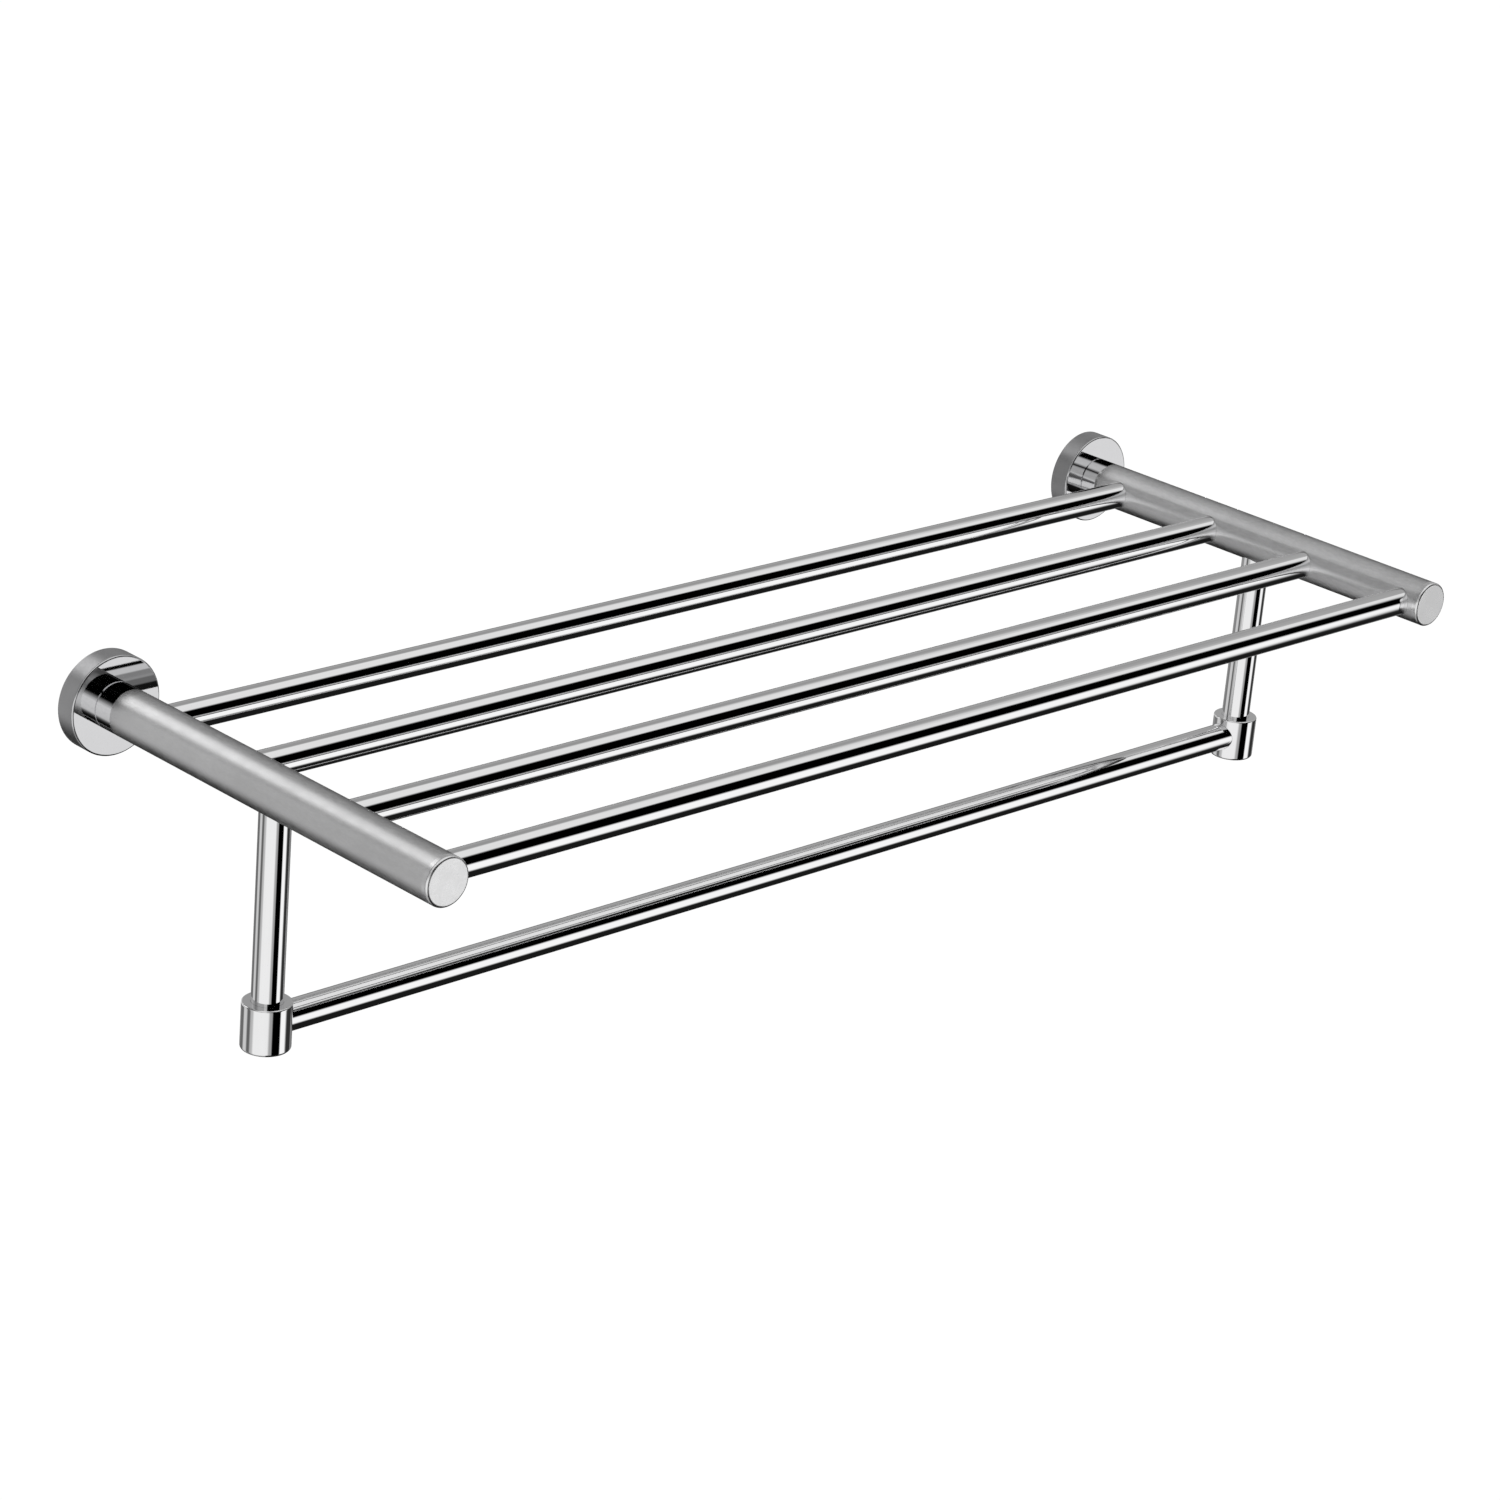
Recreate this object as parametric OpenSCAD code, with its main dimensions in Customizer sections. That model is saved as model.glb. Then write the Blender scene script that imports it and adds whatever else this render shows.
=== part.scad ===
/* [Overall] */
// Distance between the centres of the two arms, and between the wall screws' columns
arm_spacing = 600; // [400:10:900]
// Distance from the wall to the front face of the arms
projection = 224.5; // [224:0.5:300]
// Height of the arms' centres above the towel bar's centre
towel_bar_drop = 101; // [70:1:180]

/* [Wall flanges] */
// Outside diameter of a flange
flange_d = 44; // [43:0.5:52]
// Depth of a flange from the wall to its front face
flange_depth = 10; // [9.5:0.5:14]
// Radius of the rounded front edge of a flange
flange_edge = 0.8; // [0.5:0.1:3]
// Distance between the two wall screws of one bracket
screw_spacing = 26; // [25:0.5:27]
// Diameter of the wall screw holes
screw_hole_d = 4.6; // [4:0.1:5]

/* [Arms] */
// Outside diameter of an arm
arm_d = 21.2; // [20.5:0.1:24]
// Wall thickness of the arm tube
arm_wall = 1.6; // [1:0.1:2]
// Thickness of the closing cap's head at the front of an arm
cap_head = 3.2; // [2.5:0.1:3.5]
// Radius of the rounded edge at the front of an arm
cap_edge = 1.2; // [0.3:0.1:2]

/* [Shelf bars] */
// Diameter of a shelf bar
bar_d = 12.7; // [10:0.1:13]
// Wall thickness of the shelf bars and of the towel bar
bar_wall = 1.2; // [0.8:0.1:1.6]
// Distance from the wall to the centre of the rear bar
first_bar = 33.6; // [32.5:0.1:34]
// Distance between neighbouring bar centres
bar_pitch = 59.7; // [55:0.1:59.7]

/* [Towel bar] */
// Diameter of the towel bar
towel_bar_d = 13; // [12:0.1:14]
// Distance from the wall to the towel bar's centre
towel_bar_reach = 117.8; // [115:0.1:125]
// Diameter of a drop rod
rod_d = 13.5; // [12:0.1:15]
// Diameter of a corner boss
boss_d = 21.1; // [20:0.1:24]
// Height of a corner boss
boss_h = 20.6; // [20:0.1:24]
// How far the middle of a boss lies below the towel bar's centre
boss_shift = 0.8; // [0:0.1:1]

/* [Hidden] */
$fn = 96;
left = -1;
right = 1;
half = arm_spacing / 2;
eps = 0.5;             // how far a cutter runs past the face that it opens
thread_gap = 0.05;     // between a thread's outside and its tapped hole, on the radius
slip = 0.05;           // between a plug and the tube round it, on the radius

// Flange cup and the bracket inside it
flange_r = flange_d / 2;
flange_wall = 2;
flange_plate = 2.5;                          // thickness of the cup's front plate
cavity_depth = flange_depth - flange_plate;
bracket_r = flange_r - flange_wall - 0.4;
bracket_t = 6;
bracket_mid = bracket_t / 2;                 // distance from the wall to the groove's middle
groove_depth = 2.1;
bracket_hole_r = 8;
csk_r = 4;                                   // countersink of a wall screw hole
csk_depth = 2;
grub_r = 2;
grub_tip_r = 0.8;
grub_tip_h = 1.8;
grub_hex_d = 2.3;

// Arms
arm_r = arm_d / 2;
arm_bore_r = arm_r - arm_wall;
insert_l = 16;
arm_foot_edge = 0.4;                         // bevel where an arm meets its flange
cap_spigot = 1.6;
bolt_r = 4;                                  // M8
bolt_head_r = 6.5;
bolt_head_h = 4;
bolt_l = 20;
bolt_hex_d = 5.8;

// Bars, which end inside the arms
bar_r = bar_d / 2;
bar_hole_gap = 0.05;
bar_end = 6;                                 // from a bar's end to the arm's centre line

// Drop rods
rod_r = rod_d / 2;
anchor_l = 22;
stud_r = 3;                                  // M6
stud_up = 5;                                 // stud's end above the arm's centre line
stud_in_rod = 12;
rod_socket = 2;                              // how deep a rod sits in its boss

// Bosses and towel bar
boss_r = boss_d / 2;
boss_z = -towel_bar_drop - boss_shift;       // middle of a boss
boss_top = boss_z + boss_h / 2;
boss_bottom = boss_z - boss_h / 2;
boss_top_edge = 0.7;
boss_bottom_edge = 1.2;
towel_bar_r = towel_bar_d / 2;
towel_bar_end = 3.5;                         // a bar's end past the centre line of its boss
towel_insert_l = 24;
screw_r = 2.5;                               // M5
screw_head_r = 4.6;
screw_head_h = 2.8;
screw_l = 25;
screw_hex_d = 3.4;
screw_clear_r = screw_r + 0.25;
counterbore_r = screw_head_r + 0.2;
counterbore_h = screw_head_h + 0.2;
hex_depth = 1.8;

// Child in the frame of one arm: origin on its centre line at the wall, +X towards the middle
module at_side(side) {
    translate([side * half, 0, 0]) mirror([side == right ? 1 : 0, 0, 0]) children();
}

// Child drawn along +Z, turned to run from the wall to the front
module forwards() { rotate([90, 0, 0]) children(); }

// Straight rod along +Z between two heights
module rod_z(r, z0, z1) { translate([0, 0, z0]) cylinder(r = r, h = z1 - z0); }

// Hexagon socket along +Z between two heights
module hex_z(across, z0, z1) {
    translate([0, 0, z0]) cylinder(d = across / cos(30), h = z1 - z0, $fn = 6);
}

// Round bar on the X axis between two places, measured from the arm's centre line inwards
module rod_x(r, x0, x1) { translate([x0, 0, 0]) rotate([0, 90, 0]) cylinder(r = r, h = x1 - x0); }

// Half section of a disc with a rounded edge at its top
module rounded_disc_profile(r, h, edge) {
    square([r, h - edge]);
    square([r - edge, h]);
    translate([r - edge, h - edge]) circle(r = edge);
}

// Plate screwed to the wall: a grooved disc with two countersunk holes and a clear middle
module wall_bracket(side) {
    groove_half = groove_depth * 1.1;
    color("darkgray") at_side(side) forwards() difference() {
        cylinder(r = bracket_r, h = bracket_t);
        rotate_extrude() polygon([
            [bracket_r - groove_depth, bracket_mid - grub_tip_r - 0.2],
            [bracket_r + eps, bracket_mid - groove_half - 0.2],
            [bracket_r + eps, bracket_mid + groove_half + 0.2],
            [bracket_r - groove_depth, bracket_mid + grub_tip_r + 0.2]]);
        rod_z(bracket_hole_r, -eps, bracket_t + eps);
        for (end = [-1, 1]) translate([0, end * screw_spacing / 2, 0]) {
            rod_z(screw_hole_d / 2, -eps, bracket_t + eps);
            translate([0, 0, bracket_t - csk_depth])
                cylinder(r1 = screw_hole_d / 2, r2 = csk_r, h = csk_depth + 0.01);
        }
    }
}

// Grub screw that comes up through the flange's underside into the bracket's groove
module flange_grub_screw() {
    tip = bracket_r - groove_depth + 0.1;
    head = flange_r - 0.4;
    translate([0, -bracket_mid, 0]) mirror([0, 0, 1]) difference() {
        union() {
            rod_z(grub_r, tip + grub_tip_h, head);
            translate([0, 0, tip]) cylinder(r1 = grub_tip_r, r2 = grub_r, h = grub_tip_h);
        }
        hex_z(grub_hex_d, head - hex_depth, head + eps);
    }
}

module flange_grub_screws() {
    color("dimgray") for (side = [left, right]) at_side(side) flange_grub_screw();
}

// Round cup that hides the bracket, with a hole for the arm bolt and one for the grub screw
module flange(side) {
    color("silver") at_side(side) difference() {
        forwards() difference() {
            rotate_extrude() rounded_disc_profile(flange_r, flange_depth, flange_edge);
            rod_z(flange_r - flange_wall, -eps, cavity_depth);
            rod_z(bolt_r + 0.3, -eps, flange_depth + eps);
        }
        translate([0, -bracket_mid, 0])
            rod_z(grub_r + thread_gap, -flange_r - eps, -bracket_r);
    }
}

// Bolt that pulls the arm against the flange, from inside the cup
module arm_bolt() {
    seat = cavity_depth;
    forwards() difference() {
        union() {
            rod_z(bolt_head_r, seat - bolt_head_h, seat);
            rod_z(bolt_r, seat, seat + bolt_l);
        }
        hex_z(bolt_hex_d, seat - bolt_head_h - eps, seat - bolt_head_h + hex_depth);
    }
}

module arm_bolts() {
    color("dimgray") for (side = [left, right]) at_side(side) arm_bolt();
}

// Tapped plug brazed into the wall end of an arm tube
module arm_insert(side) {
    color("darkkhaki") at_side(side) forwards() difference() {
        rod_z(arm_bore_r - slip, flange_depth, flange_depth + insert_l);
        rod_z(bolt_r + thread_gap, flange_depth - eps, flange_depth + insert_l + eps);
    }
}

// Arm tube with four holes in its inner side for the bars and one below for the rod's stud
module arm_tube(side) {
    color("lightgray") at_side(side) difference() {
        forwards() difference() {
            union() {
                rod_z(arm_r, flange_depth + arm_foot_edge, projection - cap_head);
                translate([0, 0, flange_depth])
                    cylinder(r1 = arm_r - arm_foot_edge, r2 = arm_r, h = arm_foot_edge);
            }
            rod_z(arm_bore_r, flange_depth - eps, projection - cap_head + eps);
        }
        for (i = [0 : 3]) translate([0, -first_bar - i * bar_pitch, 0])
            rod_x(bar_r + bar_hole_gap, 0, arm_r + eps);
        translate([0, -towel_bar_reach, 0]) rod_z(stud_r + 0.3, -arm_r - eps, 0);
    }
}

// Cap that closes the front of an arm: head with a rounded edge and a short spigot
module arm_end_cap(side) {
    head_start = projection - cap_head;
    color("gainsboro") at_side(side) forwards() union() {
        rod_z(arm_bore_r - slip, head_start - cap_spigot, head_start);
        translate([0, 0, head_start])
            rotate_extrude() rounded_disc_profile(arm_r, cap_head, cap_edge);
    }
}

// Shelf bar: a tube brazed into both arms; number 1 is nearest the wall
module shelf_bar(number) {
    reach = half - bar_end;
    color("silver") translate([0, -first_bar - (number - 1) * bar_pitch, 0]) difference() {
        rod_x(bar_r, -reach, reach);
        rod_x(bar_r - bar_wall, -reach - eps, reach + eps);
    }
}

// Solid block inside an arm tube, tapped for the rod's stud
module rod_anchor(side) {
    color("darkkhaki") at_side(side) difference() {
        forwards() rod_z(arm_bore_r - slip, towel_bar_reach - anchor_l / 2,
                         towel_bar_reach + anchor_l / 2);
        translate([0, -towel_bar_reach, 0]) rod_z(stud_r + thread_gap, -arm_r, arm_r);
    }
}

// Stud between the anchor block and the top of a drop rod
module rod_studs() {
    color("dimgray") for (side = [left, right]) at_side(side)
        translate([0, -towel_bar_reach, 0]) rod_z(stud_r, -arm_r - stud_in_rod, stud_up);
}

// Drop rod: top cut to the arm's curve, tapped at both ends
module drop_rod(side) {
    foot = boss_top - rod_socket;
    color("silver") at_side(side) difference() {
        translate([0, -towel_bar_reach, 0]) difference() {
            rod_z(rod_r, foot, -arm_r / 2);
            rod_z(stud_r + thread_gap, -arm_r - stud_in_rod - 1, 0);
            rod_z(screw_r + thread_gap, foot - eps, foot + 12);
        }
        forwards() rod_z(arm_r, 0, projection);
    }
}

// Corner boss: socket for the rod above, blind bore for the towel bar, counterbore below
module boss(side) {
    color("silver") at_side(side) translate([0, -towel_bar_reach, 0]) difference() {
        union() {
            translate([0, 0, boss_z]) rotate_extrude()
                rounded_disc_profile(boss_r, boss_h / 2, boss_top_edge);
            translate([0, 0, boss_z]) mirror([0, 0, 1]) rotate_extrude()
                rounded_disc_profile(boss_r, boss_h / 2, boss_bottom_edge);
        }
        rod_z(rod_r + slip, boss_top - rod_socket, boss_top + eps);
        rod_z(screw_clear_r, boss_bottom - eps, boss_top);
        rod_z(counterbore_r, boss_bottom - eps, boss_bottom + counterbore_h);
        translate([0, 0, -towel_bar_drop])
            rod_x(towel_bar_r + slip, -towel_bar_end - 0.5, boss_r + eps);
    }
}

// Screw from below that ties boss, towel bar and drop rod together
module boss_screw() {
    seat = boss_bottom + counterbore_h;
    difference() {
        union() {
            rod_z(screw_head_r, seat - screw_head_h, seat);
            rod_z(screw_r, seat, seat + screw_l);
        }
        hex_z(screw_hex_d, seat - screw_head_h - eps, seat - screw_head_h + hex_depth);
    }
}

module boss_screws() {
    color("dimgray") for (side = [left, right]) at_side(side)
        translate([0, -towel_bar_reach, 0]) boss_screw();
}

// Towel bar: a tube cross-drilled near both ends for the boss screws
module towel_bar() {
    reach = half + towel_bar_end;
    color("silver") translate([0, -towel_bar_reach, -towel_bar_drop]) difference() {
        rod_x(towel_bar_r, -reach, reach);
        rod_x(towel_bar_r - bar_wall, -reach - eps, reach + eps);
        for (side = [left, right]) translate([side * half, 0, 0])
            rod_z(screw_clear_r, -towel_bar_r - eps, towel_bar_r + eps);
    }
}

// Solid plug that stiffens the towel bar's end where the boss screw goes through
module towel_bar_insert(side) {
    color("darkkhaki") at_side(side) translate([0, -towel_bar_reach, -towel_bar_drop])
        difference() {
            rod_x(towel_bar_r - bar_wall - slip, -towel_bar_end, towel_insert_l - towel_bar_end);
            rod_z(screw_clear_r, -towel_bar_r, towel_bar_r);
        }
}

wall_bracket(left);  // wall_bracket_left
wall_bracket(right);  // wall_bracket_right
flange_grub_screws();
flange(left);  // flange_left
flange(right);  // flange_right
arm_bolts();
arm_insert(left);  // arm_insert_left
arm_insert(right);  // arm_insert_right
arm_tube(left);  // arm_tube_left
arm_tube(right);  // arm_tube_right
arm_end_cap(left);  // arm_end_cap_left
arm_end_cap(right);  // arm_end_cap_right
shelf_bar(1);  // shelf_bar_1
shelf_bar(2);  // shelf_bar_2
shelf_bar(3);  // shelf_bar_3
shelf_bar(4);  // shelf_bar_4
rod_anchor(left);  // rod_anchor_left
rod_anchor(right);  // rod_anchor_right
rod_studs();
drop_rod(left);  // drop_rod_left
drop_rod(right);  // drop_rod_right
boss(left);  // boss_left
boss(right);  // boss_right
boss_screws();
towel_bar();
towel_bar_insert(left);  // towel_bar_insert_left
towel_bar_insert(right);  // towel_bar_insert_right
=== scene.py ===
import math

import bpy
from mathutils import Matrix, Vector


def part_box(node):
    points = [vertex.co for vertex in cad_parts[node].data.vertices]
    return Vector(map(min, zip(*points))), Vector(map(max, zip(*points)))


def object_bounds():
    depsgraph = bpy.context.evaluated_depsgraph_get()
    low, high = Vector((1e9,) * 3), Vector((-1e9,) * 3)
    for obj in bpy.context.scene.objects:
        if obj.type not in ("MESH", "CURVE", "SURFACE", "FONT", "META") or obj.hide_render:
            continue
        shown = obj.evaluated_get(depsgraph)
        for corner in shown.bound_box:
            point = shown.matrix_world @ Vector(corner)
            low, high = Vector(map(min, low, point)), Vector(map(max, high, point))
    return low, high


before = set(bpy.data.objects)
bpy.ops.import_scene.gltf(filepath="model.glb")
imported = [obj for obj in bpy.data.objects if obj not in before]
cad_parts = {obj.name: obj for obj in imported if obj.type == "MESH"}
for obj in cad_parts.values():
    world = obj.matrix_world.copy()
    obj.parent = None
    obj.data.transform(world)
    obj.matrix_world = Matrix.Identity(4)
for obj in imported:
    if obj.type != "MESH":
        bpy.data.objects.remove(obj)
CAD_LOW, CAD_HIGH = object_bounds()

# ---------------------------------------------------------------- camera
AIM = Vector((-0.0232, -0.1035, -0.0464))   # the point in the middle of the picture
DISTANCE = 1.9
AZIMUTH, ELEVATION, ROLL = map(math.radians, (-45.13, 21.49, -4.96))
LENS = 102.67            # mm
SENSOR = 36.0            # mm
FARTHEST = 100.0         # the camera sees this far


def make_camera():
    """Camera in front, to the left and above, looking down at the rack."""
    ahead = Vector((-math.sin(AZIMUTH) * math.cos(ELEVATION),
                    math.cos(AZIMUTH) * math.cos(ELEVATION),
                    -math.sin(ELEVATION)))
    level = Vector((math.cos(AZIMUTH), math.sin(AZIMUTH), 0))
    down = ahead.cross(level)
    right = math.cos(ROLL) * level + math.sin(ROLL) * down
    up = right.cross(ahead)
    data = bpy.data.cameras.new("camera")
    data.lens = LENS
    data.sensor_width = SENSOR
    data.clip_end = FARTHEST
    camera = bpy.data.objects.new("camera", data)
    bpy.context.scene.collection.objects.link(camera)
    turn = Matrix((right, up, -ahead)).transposed().to_4x4()
    camera.matrix_world = Matrix.Translation(AIM - DISTANCE * ahead) @ turn
    bpy.context.scene.camera = camera


# ---------------------------------------------------------------- node helpers
class Nodes:
    """Short ways to add shader nodes to one tree."""

    # Socket numbers of the Mix node, whose sockets of each kind share their names.
    MIX_FACTOR = 0
    MIX_FLOATS = (2, 3)
    MIX_COLOURS = (6, 7)
    MIX_COLOUR_OUT = 2

    def __init__(self, tree):
        self.tree = tree
        tree.nodes.clear()

    def add(self, kind, **settings):
        node = self.tree.nodes.new(kind)
        for name, value in settings.items():
            setattr(node, name, value)
        return node

    def link(self, source, target):
        self.tree.links.new(source, target)

    def put(self, socket, value):
        """Link value to the socket if it's a socket too, else set it as a number or colour."""
        if isinstance(value, bpy.types.NodeSocket):
            self.link(value, socket)
        else:
            socket.default_value = value

    def math(self, operation, *values):
        node = self.add("ShaderNodeMath", operation=operation)
        for socket, value in zip(node.inputs, values):
            self.put(socket, value)
        return node.outputs[0]

    def ramp(self, value, low, high, out_low=0.0, out_high=1.0):
        """Smooth step of value from low to high."""
        node = self.add("ShaderNodeMapRange", interpolation_type="SMOOTHSTEP", clamp=True)
        for socket, number in zip(node.inputs, (value, low, high, out_low, out_high)):
            self.put(socket, number)
        return node.outputs[0]

    def mix(self, under, over, mask):
        """The number over where mask is 1, and under where it is 0."""
        node = self.add("ShaderNodeMix", data_type="FLOAT")
        self.put(node.inputs[self.MIX_FACTOR], mask)
        for place, value in zip(self.MIX_FLOATS, (under, over)):
            self.put(node.inputs[place], value)
        return node.outputs[0]

    def darken(self, colour, mask, tone):
        """Colour times tone where mask is 1, and as it is where mask is 0."""
        node = self.add("ShaderNodeMix", data_type="RGBA", blend_type="MULTIPLY")
        self.put(node.inputs[self.MIX_FACTOR], mask)
        for place, value in zip(self.MIX_COLOURS, (colour, (tone, tone, tone, 1.0))):
            self.put(node.inputs[place], value)
        return node.outputs[self.MIX_COLOUR_OUT]

    def noise(self, vector, scale, detail, roughness=0.5):
        node = self.add("ShaderNodeTexNoise")
        self.put(node.inputs["Vector"], vector)
        self.put(node.inputs["Scale"], scale)
        self.put(node.inputs["Detail"], detail)
        self.put(node.inputs["Roughness"], roughness)
        return node.outputs["Fac"]


# ---------------------------------------------------------------- studio
# Soft cards round the rack, painted in this order over a grey room. Angles in degrees:
# middle of the card (0 is into the wall, 90 to the right), half width, lowest and highest
# elevation, width of the soft edge; then brightness.
ROOM = 0.38
CARDS = (
    # azimuth, half, low, high, soft, brightness
    (0, 28, -16, 16, 10, 0.75),        # wall side: light for the views from behind
    (-75, 25, -50, 14, 24, 0.50),      # fading edge of the card on the left
    (-56, 10, -60, 25, 10, 0.13),      # wall side, left
    (-33, 13, -34, 25, 12, 0.62),      # wall side, between
    (-5, 17, -60, -18, 10, 0.15),      # wall side, low in the middle
    (0, 200, 44, 100, 10, 0.80),       # soft box overhead
    (-5, 26, 30, 45, 8, 1.65),         # its bright low edge over the wall
    (0, 34, 47, 70, 6, 0.24),          # dimmer stretch above that
    (36, 22, 22, 56, 14, 0.32),        # dimmer to the right of it
    (-52, 24, 26, 66, 16, 0.14),       # its dim left part
    (106, 14, 34, 60, 8, 0.80),        # its low edge on the right
    (50, 30, -36, 5, 10, 0.20),        # wall side, right: dark behind the rack
    (178, 62, 4, 45, 8, 0.0),          # dark band above the front cards
    (-131, 11, 8, 45, 8, 0.55),        # lighter at its left end
    (-118, 36, -45, 10, 12, 0.90),     # card on the left
    (140, 15, -45, 2, 10, 1.0),        # card on the front right
    (172, 19, -60, 8, 6, 0.0),         # dark gap between the two
    (102, 18, -45, 4, 10, 0.03),       # dark to the right
    (100, 115, -100, -34, 12, 0.01),   # dark below
)
WHITE = (1.0, 1.0, 1.0, 1.0)


def card_mask(n, azimuth, elevation, card):
    """1 on the card, 0 off it, and a smooth step across its soft edges."""
    middle, half, low, high, soft = card
    edge = soft / 2
    aside = n.math("WRAP", n.math("SUBTRACT", azimuth, middle), 180.0, -180.0)
    mask = n.ramp(n.math("ABSOLUTE", aside), half - edge, half + edge, 1.0, 0.0)
    mask = n.math("MULTIPLY", mask, n.ramp(elevation, low - edge, low + edge))
    return n.math("MULTIPLY", mask, n.ramp(elevation, high - edge, high + edge, 1.0, 0.0))


def make_world():
    """Plain white for the camera, and the soft cards for what the metal reflects."""
    world = bpy.data.worlds.new("studio")
    bpy.context.scene.world = world
    world.use_nodes = True
    n = Nodes(world.node_tree)
    direction = n.add("ShaderNodeTexCoord").outputs["Generated"]
    split = n.add("ShaderNodeSeparateXYZ")
    n.link(direction, split.inputs[0])
    x, y, z = split.outputs
    azimuth = n.math("DEGREES", n.math("ARCTAN2", x, y))
    elevation = n.math("DEGREES", n.math("ARCSINE", z))
    light = ROOM
    for *card, brightness in CARDS:
        light = n.mix(light, brightness, card_mask(n, azimuth, elevation, card))
    cards = n.add("ShaderNodeBackground")
    n.put(cards.inputs["Color"], light)
    plain = n.add("ShaderNodeBackground")
    n.put(plain.inputs["Color"], WHITE)
    pick = n.add("ShaderNodeMixShader")
    n.link(n.add("ShaderNodeLightPath").outputs["Is Camera Ray"], pick.inputs[0])
    n.link(cards.outputs[0], pick.inputs[1])
    n.link(plain.outputs[0], pick.inputs[2])
    n.link(pick.outputs[0], n.add("ShaderNodeOutputWorld").inputs["Surface"])


FLOOR_DROP = 0.35        # from the rack's lowest point to the floor
FLOOR_SIZE = 12.0
FLOOR_MATT = (0.12, 0.12, 0.12, 1.0)     # colour of its matt part
FLOOR_GLOW = 0.97        # strength of its glowing part


def floor_white():
    """Even white: mostly glow, and a little matt grey that takes the studio's light."""
    material = bpy.data.materials.new("floor_white")
    material.use_nodes = True
    n = Nodes(material.node_tree)
    matt = n.add("ShaderNodeBsdfDiffuse")
    n.put(matt.inputs["Color"], FLOOR_MATT)
    glow = n.add("ShaderNodeEmission")
    n.put(glow.inputs["Color"], WHITE)
    n.put(glow.inputs["Strength"], FLOOR_GLOW)
    both = n.add("ShaderNodeAddShader")
    n.link(matt.outputs[0], both.inputs[0])
    n.link(glow.outputs[0], both.inputs[1])
    n.link(both.outputs[0], n.add("ShaderNodeOutputMaterial").inputs["Surface"])
    return material


def make_floor():
    """Plain white floor below the rack, which the metal doesn't reflect."""
    bpy.ops.mesh.primitive_plane_add(size=FLOOR_SIZE, location=(0, 0, CAD_LOW[2] - FLOOR_DROP))
    floor = bpy.context.object
    floor.name = "floor"
    floor.data.materials.append(floor_white())
    floor.visible_glossy = False
    floor.visible_diffuse = False


# ---------------------------------------------------------------- materials
# Colours, and lowest and highest roughness.
CHROME = (0.93, 0.93, 0.935)
FLANGE_GREY = (0.68, 0.68, 0.69)
STEEL = (0.62, 0.62, 0.61)
DARK_STEEL = (0.50, 0.50, 0.50)
BRASS = (0.80, 0.62, 0.34)
MIRROR = (0.02, 0.04)
SATIN = (0.33, 0.41)

# How the scratches are stretched: a small number draws them out along that axis.
EVEN = (1, 1, 1)
ALONG_X = (0.03, 1, 1)
ALONG_Z = (1, 1, 0.03)
BRUSHED_Y = (1, 0.35, 1)

# Stretches along Y, lowest first, where arms and flanges are polished and not satin: the arms
# next to the wall, and the flanges' front faces with a thin edge of the rim behind them.
POLISH_REACH = 0.020
POLISHED_EDGE = 0.0005
FLANGE_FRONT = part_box("flange_left")[0][1]
ARM_POLISH = (-POLISH_REACH, 0.0)
FLANGE_POLISH = (-POLISH_REACH, FLANGE_FRONT + POLISHED_EDGE)
POLISH_FADE = 0.0004     # half the width of the change between the two
POLISH_SHARE = 0.1       # roughness of a polished stretch as a share of the satin's

# Noises: scale per metre, detail, and for the scratches their own roughness.
SCRATCHES = (900.0, 4.0, 0.65)
PATCHES = (130.0, 3.0)
DRIFT = (22.0, 3.0)
SCRATCHES_IN_TONE = 0.5      # their share in the tone, beside the drift
SCRATCHES_IN_GLOSS = 0.6     # their share in the gloss, beside the patches
SCRATCH_STRENGTH = 0.35
# Where the smooth steps from the noises to tone and roughness start and end.
TONE_STEP = (0.35, 0.65)
ROUGH_STEP = (0.32, 0.68)


def polished_stretch(n, place, stretch):
    """0 between the two places along Y, 1 outside them."""
    split = n.add("ShaderNodeSeparateXYZ")
    n.link(place, split.inputs[0])
    outside = n.math("ABSOLUTE", n.math("SUBTRACT", split.outputs[1], sum(stretch) / 2))
    reach = (stretch[1] - stretch[0]) / 2
    return n.ramp(outside, reach - POLISH_FADE, reach + POLISH_FADE)


def blend(n, first, second, share):
    """Share of the first number, and the rest of the second."""
    return n.math("MULTIPLY_ADD", first, share, n.math("MULTIPLY", second, 1.0 - share))


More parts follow.
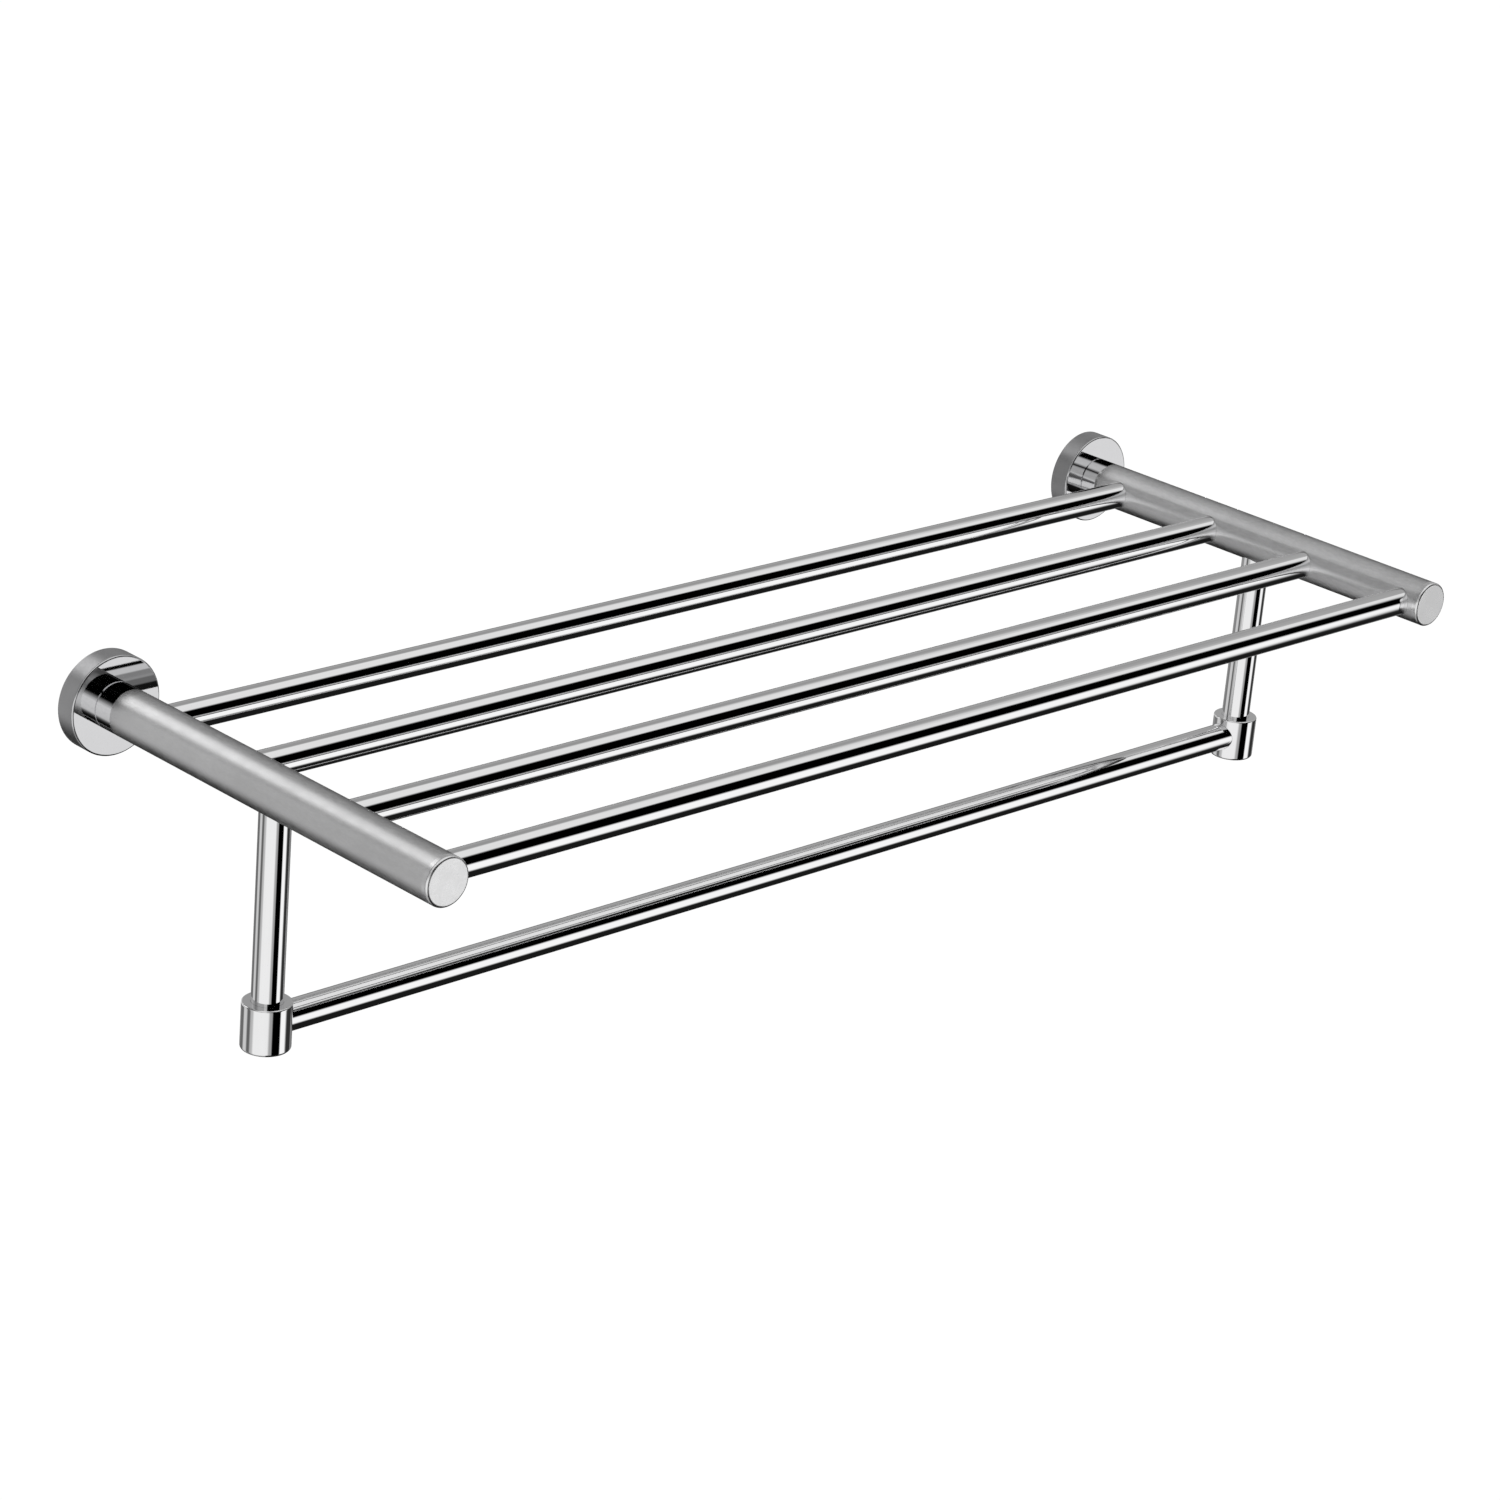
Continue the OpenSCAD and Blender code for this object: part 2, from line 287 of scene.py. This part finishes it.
def metal(name, colour, rough, grain=EVEN, scratch=2e-6, mottle=0.035, polished=None, rim=1.0,
          satin_painted_shade=1.0):
    """Plated or plain metal: slight tone drift, patchy roughness and fine scratches.

    rough is the lowest and highest roughness, grain stretches the scratches along an axis,
    scratch is their depth in metres, mottle is how much darker the dullest spots are, and a
    satin surface may be polished between two places along Y, lowest first; satin_painted_shade
    darkens the colour of its satin stretches beside that, a painted shade for their dimmer
    look. rim is how much the metal still reflects where it is seen almost edge on.
    """
    material = bpy.data.materials.new(name)
    material.use_nodes = True
    n = Nodes(material.node_tree)
    shader = n.add("ShaderNodeBsdfPrincipled")
    n.put(shader.inputs["Metallic"], 1.0)
    n.put(shader.inputs["Specular Tint"], (rim, rim, rim, 1.0))
    place = n.add("ShaderNodeTexCoord").outputs["Object"]
    stretch = n.add("ShaderNodeMapping")
    n.link(place, stretch.inputs["Vector"])
    n.put(stretch.inputs["Scale"], grain)
    lines = n.noise(stretch.outputs[0], *SCRATCHES)
    spots = blend(n, lines, n.noise(place, *DRIFT), SCRATCHES_IN_TONE)
    tone = n.add("ShaderNodeValToRGB")
    n.link(n.ramp(spots, *TONE_STEP), tone.inputs[0])
    for stop, share in zip(tone.color_ramp.elements, (1.0 - mottle, 1.0)):
        stop.color = tuple(c * share for c in colour) + (1.0,)
    base = tone.outputs[0]
    uneven = blend(n, lines, n.noise(place, *PATCHES), SCRATCHES_IN_GLOSS)
    roughness = n.ramp(uneven, *ROUGH_STEP, *rough)
    if polished is not None:
        satin = polished_stretch(n, place, polished)
        share = n.math("MULTIPLY_ADD", satin, 1.0 - POLISH_SHARE, POLISH_SHARE)
        roughness = n.math("MULTIPLY", roughness, share)
        # Painted shade: the satin stretches' colour is darkened so they look dimmer than the
        # polished ones.
        base = n.darken(base, satin, satin_painted_shade)
    n.link(base, shader.inputs["Base Color"])
    n.put(shader.inputs["Roughness"], roughness)
    fine = n.add("ShaderNodeBump")
    n.put(fine.inputs["Strength"], SCRATCH_STRENGTH)
    n.put(fine.inputs["Distance"], scratch)
    n.link(lines, fine.inputs["Height"])
    n.link(fine.outputs[0], shader.inputs["Normal"])
    n.link(shader.outputs[0], n.add("ShaderNodeOutputMaterial").inputs["Surface"])
    return material


def bar_chrome():
    """Mirror chrome of the shelf bars and the towel bar, wiped along their length."""
    return metal("bar_chrome", CHROME, MIRROR, ALONG_X)


def rod_chrome():
    """Mirror chrome of the drop rods and bosses, wiped up and down."""
    return metal("rod_chrome", CHROME, MIRROR, ALONG_Z)


def arm_chrome():
    """Satin arms, polished next to the wall, with dark outlines."""
    return metal("arm_chrome", CHROME, SATIN, BRUSHED_Y, scratch=4e-6, mottle=0.10,
                 polished=ARM_POLISH, rim=0.0)


def cap_chrome():
    """Fine satin end caps."""
    return metal("cap_chrome", CHROME, rough=(0.26, 0.32), scratch=5e-7, mottle=0.04)


def flange_chrome():
    """Flanges with a satin rim, its colour darkened as painted shade, and a polished front
    face.
    """
    # The satin rim's colour is 0.72 of the face's: painted shade.
    return metal("flange_chrome", FLANGE_GREY, rough=(0.30, 0.40), scratch=1e-6, mottle=0.05,
                 polished=FLANGE_POLISH, satin_painted_shade=0.72)


def bracket_steel():
    """Stamped stainless wall brackets."""
    return metal("bracket_steel", STEEL, rough=(0.25, 0.4), grain=ALONG_X)


def insert_brass():
    """Turned brass plugs and anchors inside the tubes."""
    return metal("insert_brass", BRASS, rough=(0.2, 0.32))


def fastener_steel():
    """Bolts, studs and screws."""
    return metal("fastener_steel", DARK_STEEL, rough=(0.2, 0.35))


# ---------------------------------------------------------------- which node wears what
FINISHES = {make.__name__: make() for make in (
    bar_chrome, rod_chrome, arm_chrome, cap_chrome,
    flange_chrome, bracket_steel, insert_brass, fastener_steel)}
# The first start that a node's name has is the one that counts.
WEARS = (
    ("towel_bar_insert", "insert_brass"),
    ("arm_insert", "insert_brass"),
    ("rod_anchor", "insert_brass"),
    ("boss_screws", "fastener_steel"),
    ("flange_grub_screws", "fastener_steel"),
    ("arm_bolts", "fastener_steel"),
    ("rod_studs", "fastener_steel"),
    ("wall_bracket", "bracket_steel"),
    ("shelf_bar", "bar_chrome"),
    ("towel_bar", "bar_chrome"),
    ("drop_rod", "rod_chrome"),
    ("boss", "rod_chrome"),
    ("arm_tube", "arm_chrome"),
    ("arm_end_cap", "cap_chrome"),
    ("flange", "flange_chrome"),
)


def finish_of(node):
    """The finish that a CAD node wears."""
    return next(FINISHES[finish] for start, finish in WEARS if node.startswith(start))


def dress_nodes():
    """Put each CAD node's finish in its material slots."""
    for name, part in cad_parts.items():
        for place in part.material_slots:
            place.material = finish_of(name)


bpy.context.scene.view_settings.view_transform = "Standard"
make_camera()
make_world()
make_floor()
dress_nodes()
